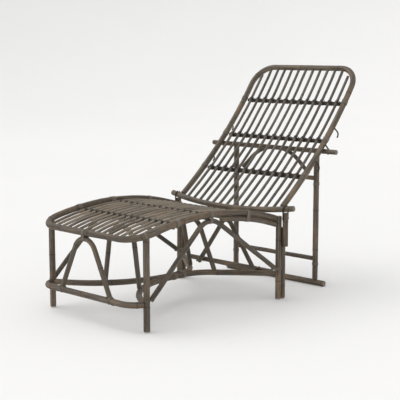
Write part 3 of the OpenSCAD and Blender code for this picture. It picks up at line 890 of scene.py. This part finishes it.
# The rim is wound over the tops of the front legs, and together with the tops of the side arches
rim, rim_r = lines["seat_rim"]
rim = dense(rim, MEDIUM)
for side in ("left", "right"):
    for name, width, look in (("front_leg_", 13 * MM, {"strip": 4.6 * MM, "thick": 0.7 * MM}),
                              ("side_arch_", 22 * MM, {})):
        line, r = lines[name + side]
        top = line[line[:, 2].argmax()]
        i = nearest(rim, top)
        members = [(rim[i], rim_r)] + ([(top, r)] if name == "side_arch_" else [])
        bundle(knots, rim[i], tangent_at(rim, i), members, width, rng, **look)
# The side stretchers are wound together where they run side by side
(one, one_r), (other, other_r) = lines["side_stretcher_right"], lines["side_stretcher_left"]
for y in (-0.225, -0.172):
    p = one[np.abs(one[:, 1] - y).argmin()]
    q = other[nearest(other, p)]
    bundle(knots, (p + q) / 2, (0, 1, 0), [(p, one_r), (q, other_r)], 21 * MM, rng)
knots.make("seat_joint_lashings", PEEL, "seat")

# ---------------------------------------------------------------------------------------------
# Iron fittings and glides keep their CAD shape
# ---------------------------------------------------------------------------------------------

for name, material in (("pivot_loop_left", IRON), ("pivot_loop_right", IRON), ("loop_bolts", IRON),
                       ("hooks_left", IRON), ("hooks_right", IRON), ("leg_glides", GLIDE)):
    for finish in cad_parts[name].material_slots:
        finish.material = material

# ---------------------------------------------------------------------------------------------
# Floor, light and camera
# ---------------------------------------------------------------------------------------------

# The floor is flat out to one radius, then curves up until it stands upright at its edge
FLAT_R = 10
SWEEP_R = 8
SWEEP_STEPS = 27
SPOKES = 96
FLOOR_STOPS = ((0.3, 0.86), (0.7, 0.875))

CAMERA_AZIMUTH = 44.155
CAMERA_ELEVATION = 8.243
CAMERA_PLACE = (3.235, -3.378, 1.112)
CAMERA_LENS = 93.15
CAMERA_SENSOR = 36
CAMERA_FAR = 200

WORLD_STRENGTH = 0.75


def aim(obj, way):
    """Turns a camera or a light to look along way."""
    obj.rotation_euler = way.to_track_quat("-Z", "Y").to_euler()


def floor_sweep():
    """A pale floor that curves up into a backdrop, far away on every side."""
    profile = [(float(r), 0.0) for r in range(1, FLAT_R)]
    for i in range(SWEEP_STEPS + 1):
        a = i / SWEEP_STEPS * math.pi / 2
        profile.append((FLAT_R + SWEEP_R * math.sin(a), SWEEP_R * (1 - math.cos(a))))
    turns = [k * TURN / SPOKES for k in range(SPOKES)]
    verts = [(0, 0, 0)] + [(r * math.cos(t), r * math.sin(t), z) for r, z in profile for t in turns]
    faces = [(0, k + 1, (k + 1) % SPOKES + 1) for k in range(SPOKES)]
    for base in range(1, len(verts) - SPOKES, SPOKES):
        for k in range(SPOKES):
            after = (k + 1) % SPOKES
            faces.append((base + k, base + SPOKES + k, base + SPOKES + after, base + after))
    mesh = bpy.data.meshes.new("floor")
    mesh.from_pydata(verts, [], faces)
    mesh.polygons.foreach_set("use_smooth", [True] * len(faces))
    mat, nt, bsdf = new_material("floor_paper")
    tint = ramp(nt, object_noise(nt, 0.4, 2), FLOOR_STOPS)
    nt.links.new(tint, bsdf.inputs["Base Color"])
    bsdf.inputs["Roughness"].default_value = 0.95
    bsdf.inputs["Specular IOR Level"].default_value = 0.1
    mesh.materials.append(mat)
    obj = add_object("floor", mesh)


def camera():
    """The photograph's viewpoint."""
    data = bpy.data.cameras.new("camera")
    data.lens = CAMERA_LENS
    data.sensor_width = CAMERA_SENSOR
    data.clip_end = CAMERA_FAR
    obj = add_object("camera", data)
    a, e = math.radians(CAMERA_AZIMUTH), math.radians(CAMERA_ELEVATION)
    obj.location = CAMERA_PLACE
    aim(obj, Vector((-math.sin(a) * math.cos(e), math.cos(a) * math.cos(e), -math.sin(e))))
    bpy.context.scene.camera = obj


def light(name, kind, energy, colour):
    data = bpy.data.lights.new(name, kind)
    data.energy = energy
    data.color = colour
    return add_object(name, data), data


def lights():
    """A wide, slightly warm key from the upper left, and a weak fill from beside the camera."""
    obj, data = light("key", "SUN", 1.3, (1.0, 0.985, 0.965))
    data.angle = math.radians(60)
    aim(obj, Vector((0.55, 0.4, -0.95)))
    obj, data = light("fill", "AREA", 4, (0.98, 0.99, 1.0))
    data.shape = "DISK"
    data.size = 3.0
    obj.location = (3.6, -3.2, 2.4)
    aim(obj, Vector((0, -0.2, 0.3)) - obj.location)


floor_sweep()
camera()
lights()

world = bpy.data.worlds.new("studio")
bpy.context.scene.world = world
world.use_nodes = True
background = world.node_tree.nodes["Background"]
background.inputs["Color"].default_value = (1.0, 1.0, 1.0, 1)
background.inputs["Strength"].default_value = WORLD_STRENGTH
bpy.context.scene.view_settings.view_transform = "Standard"
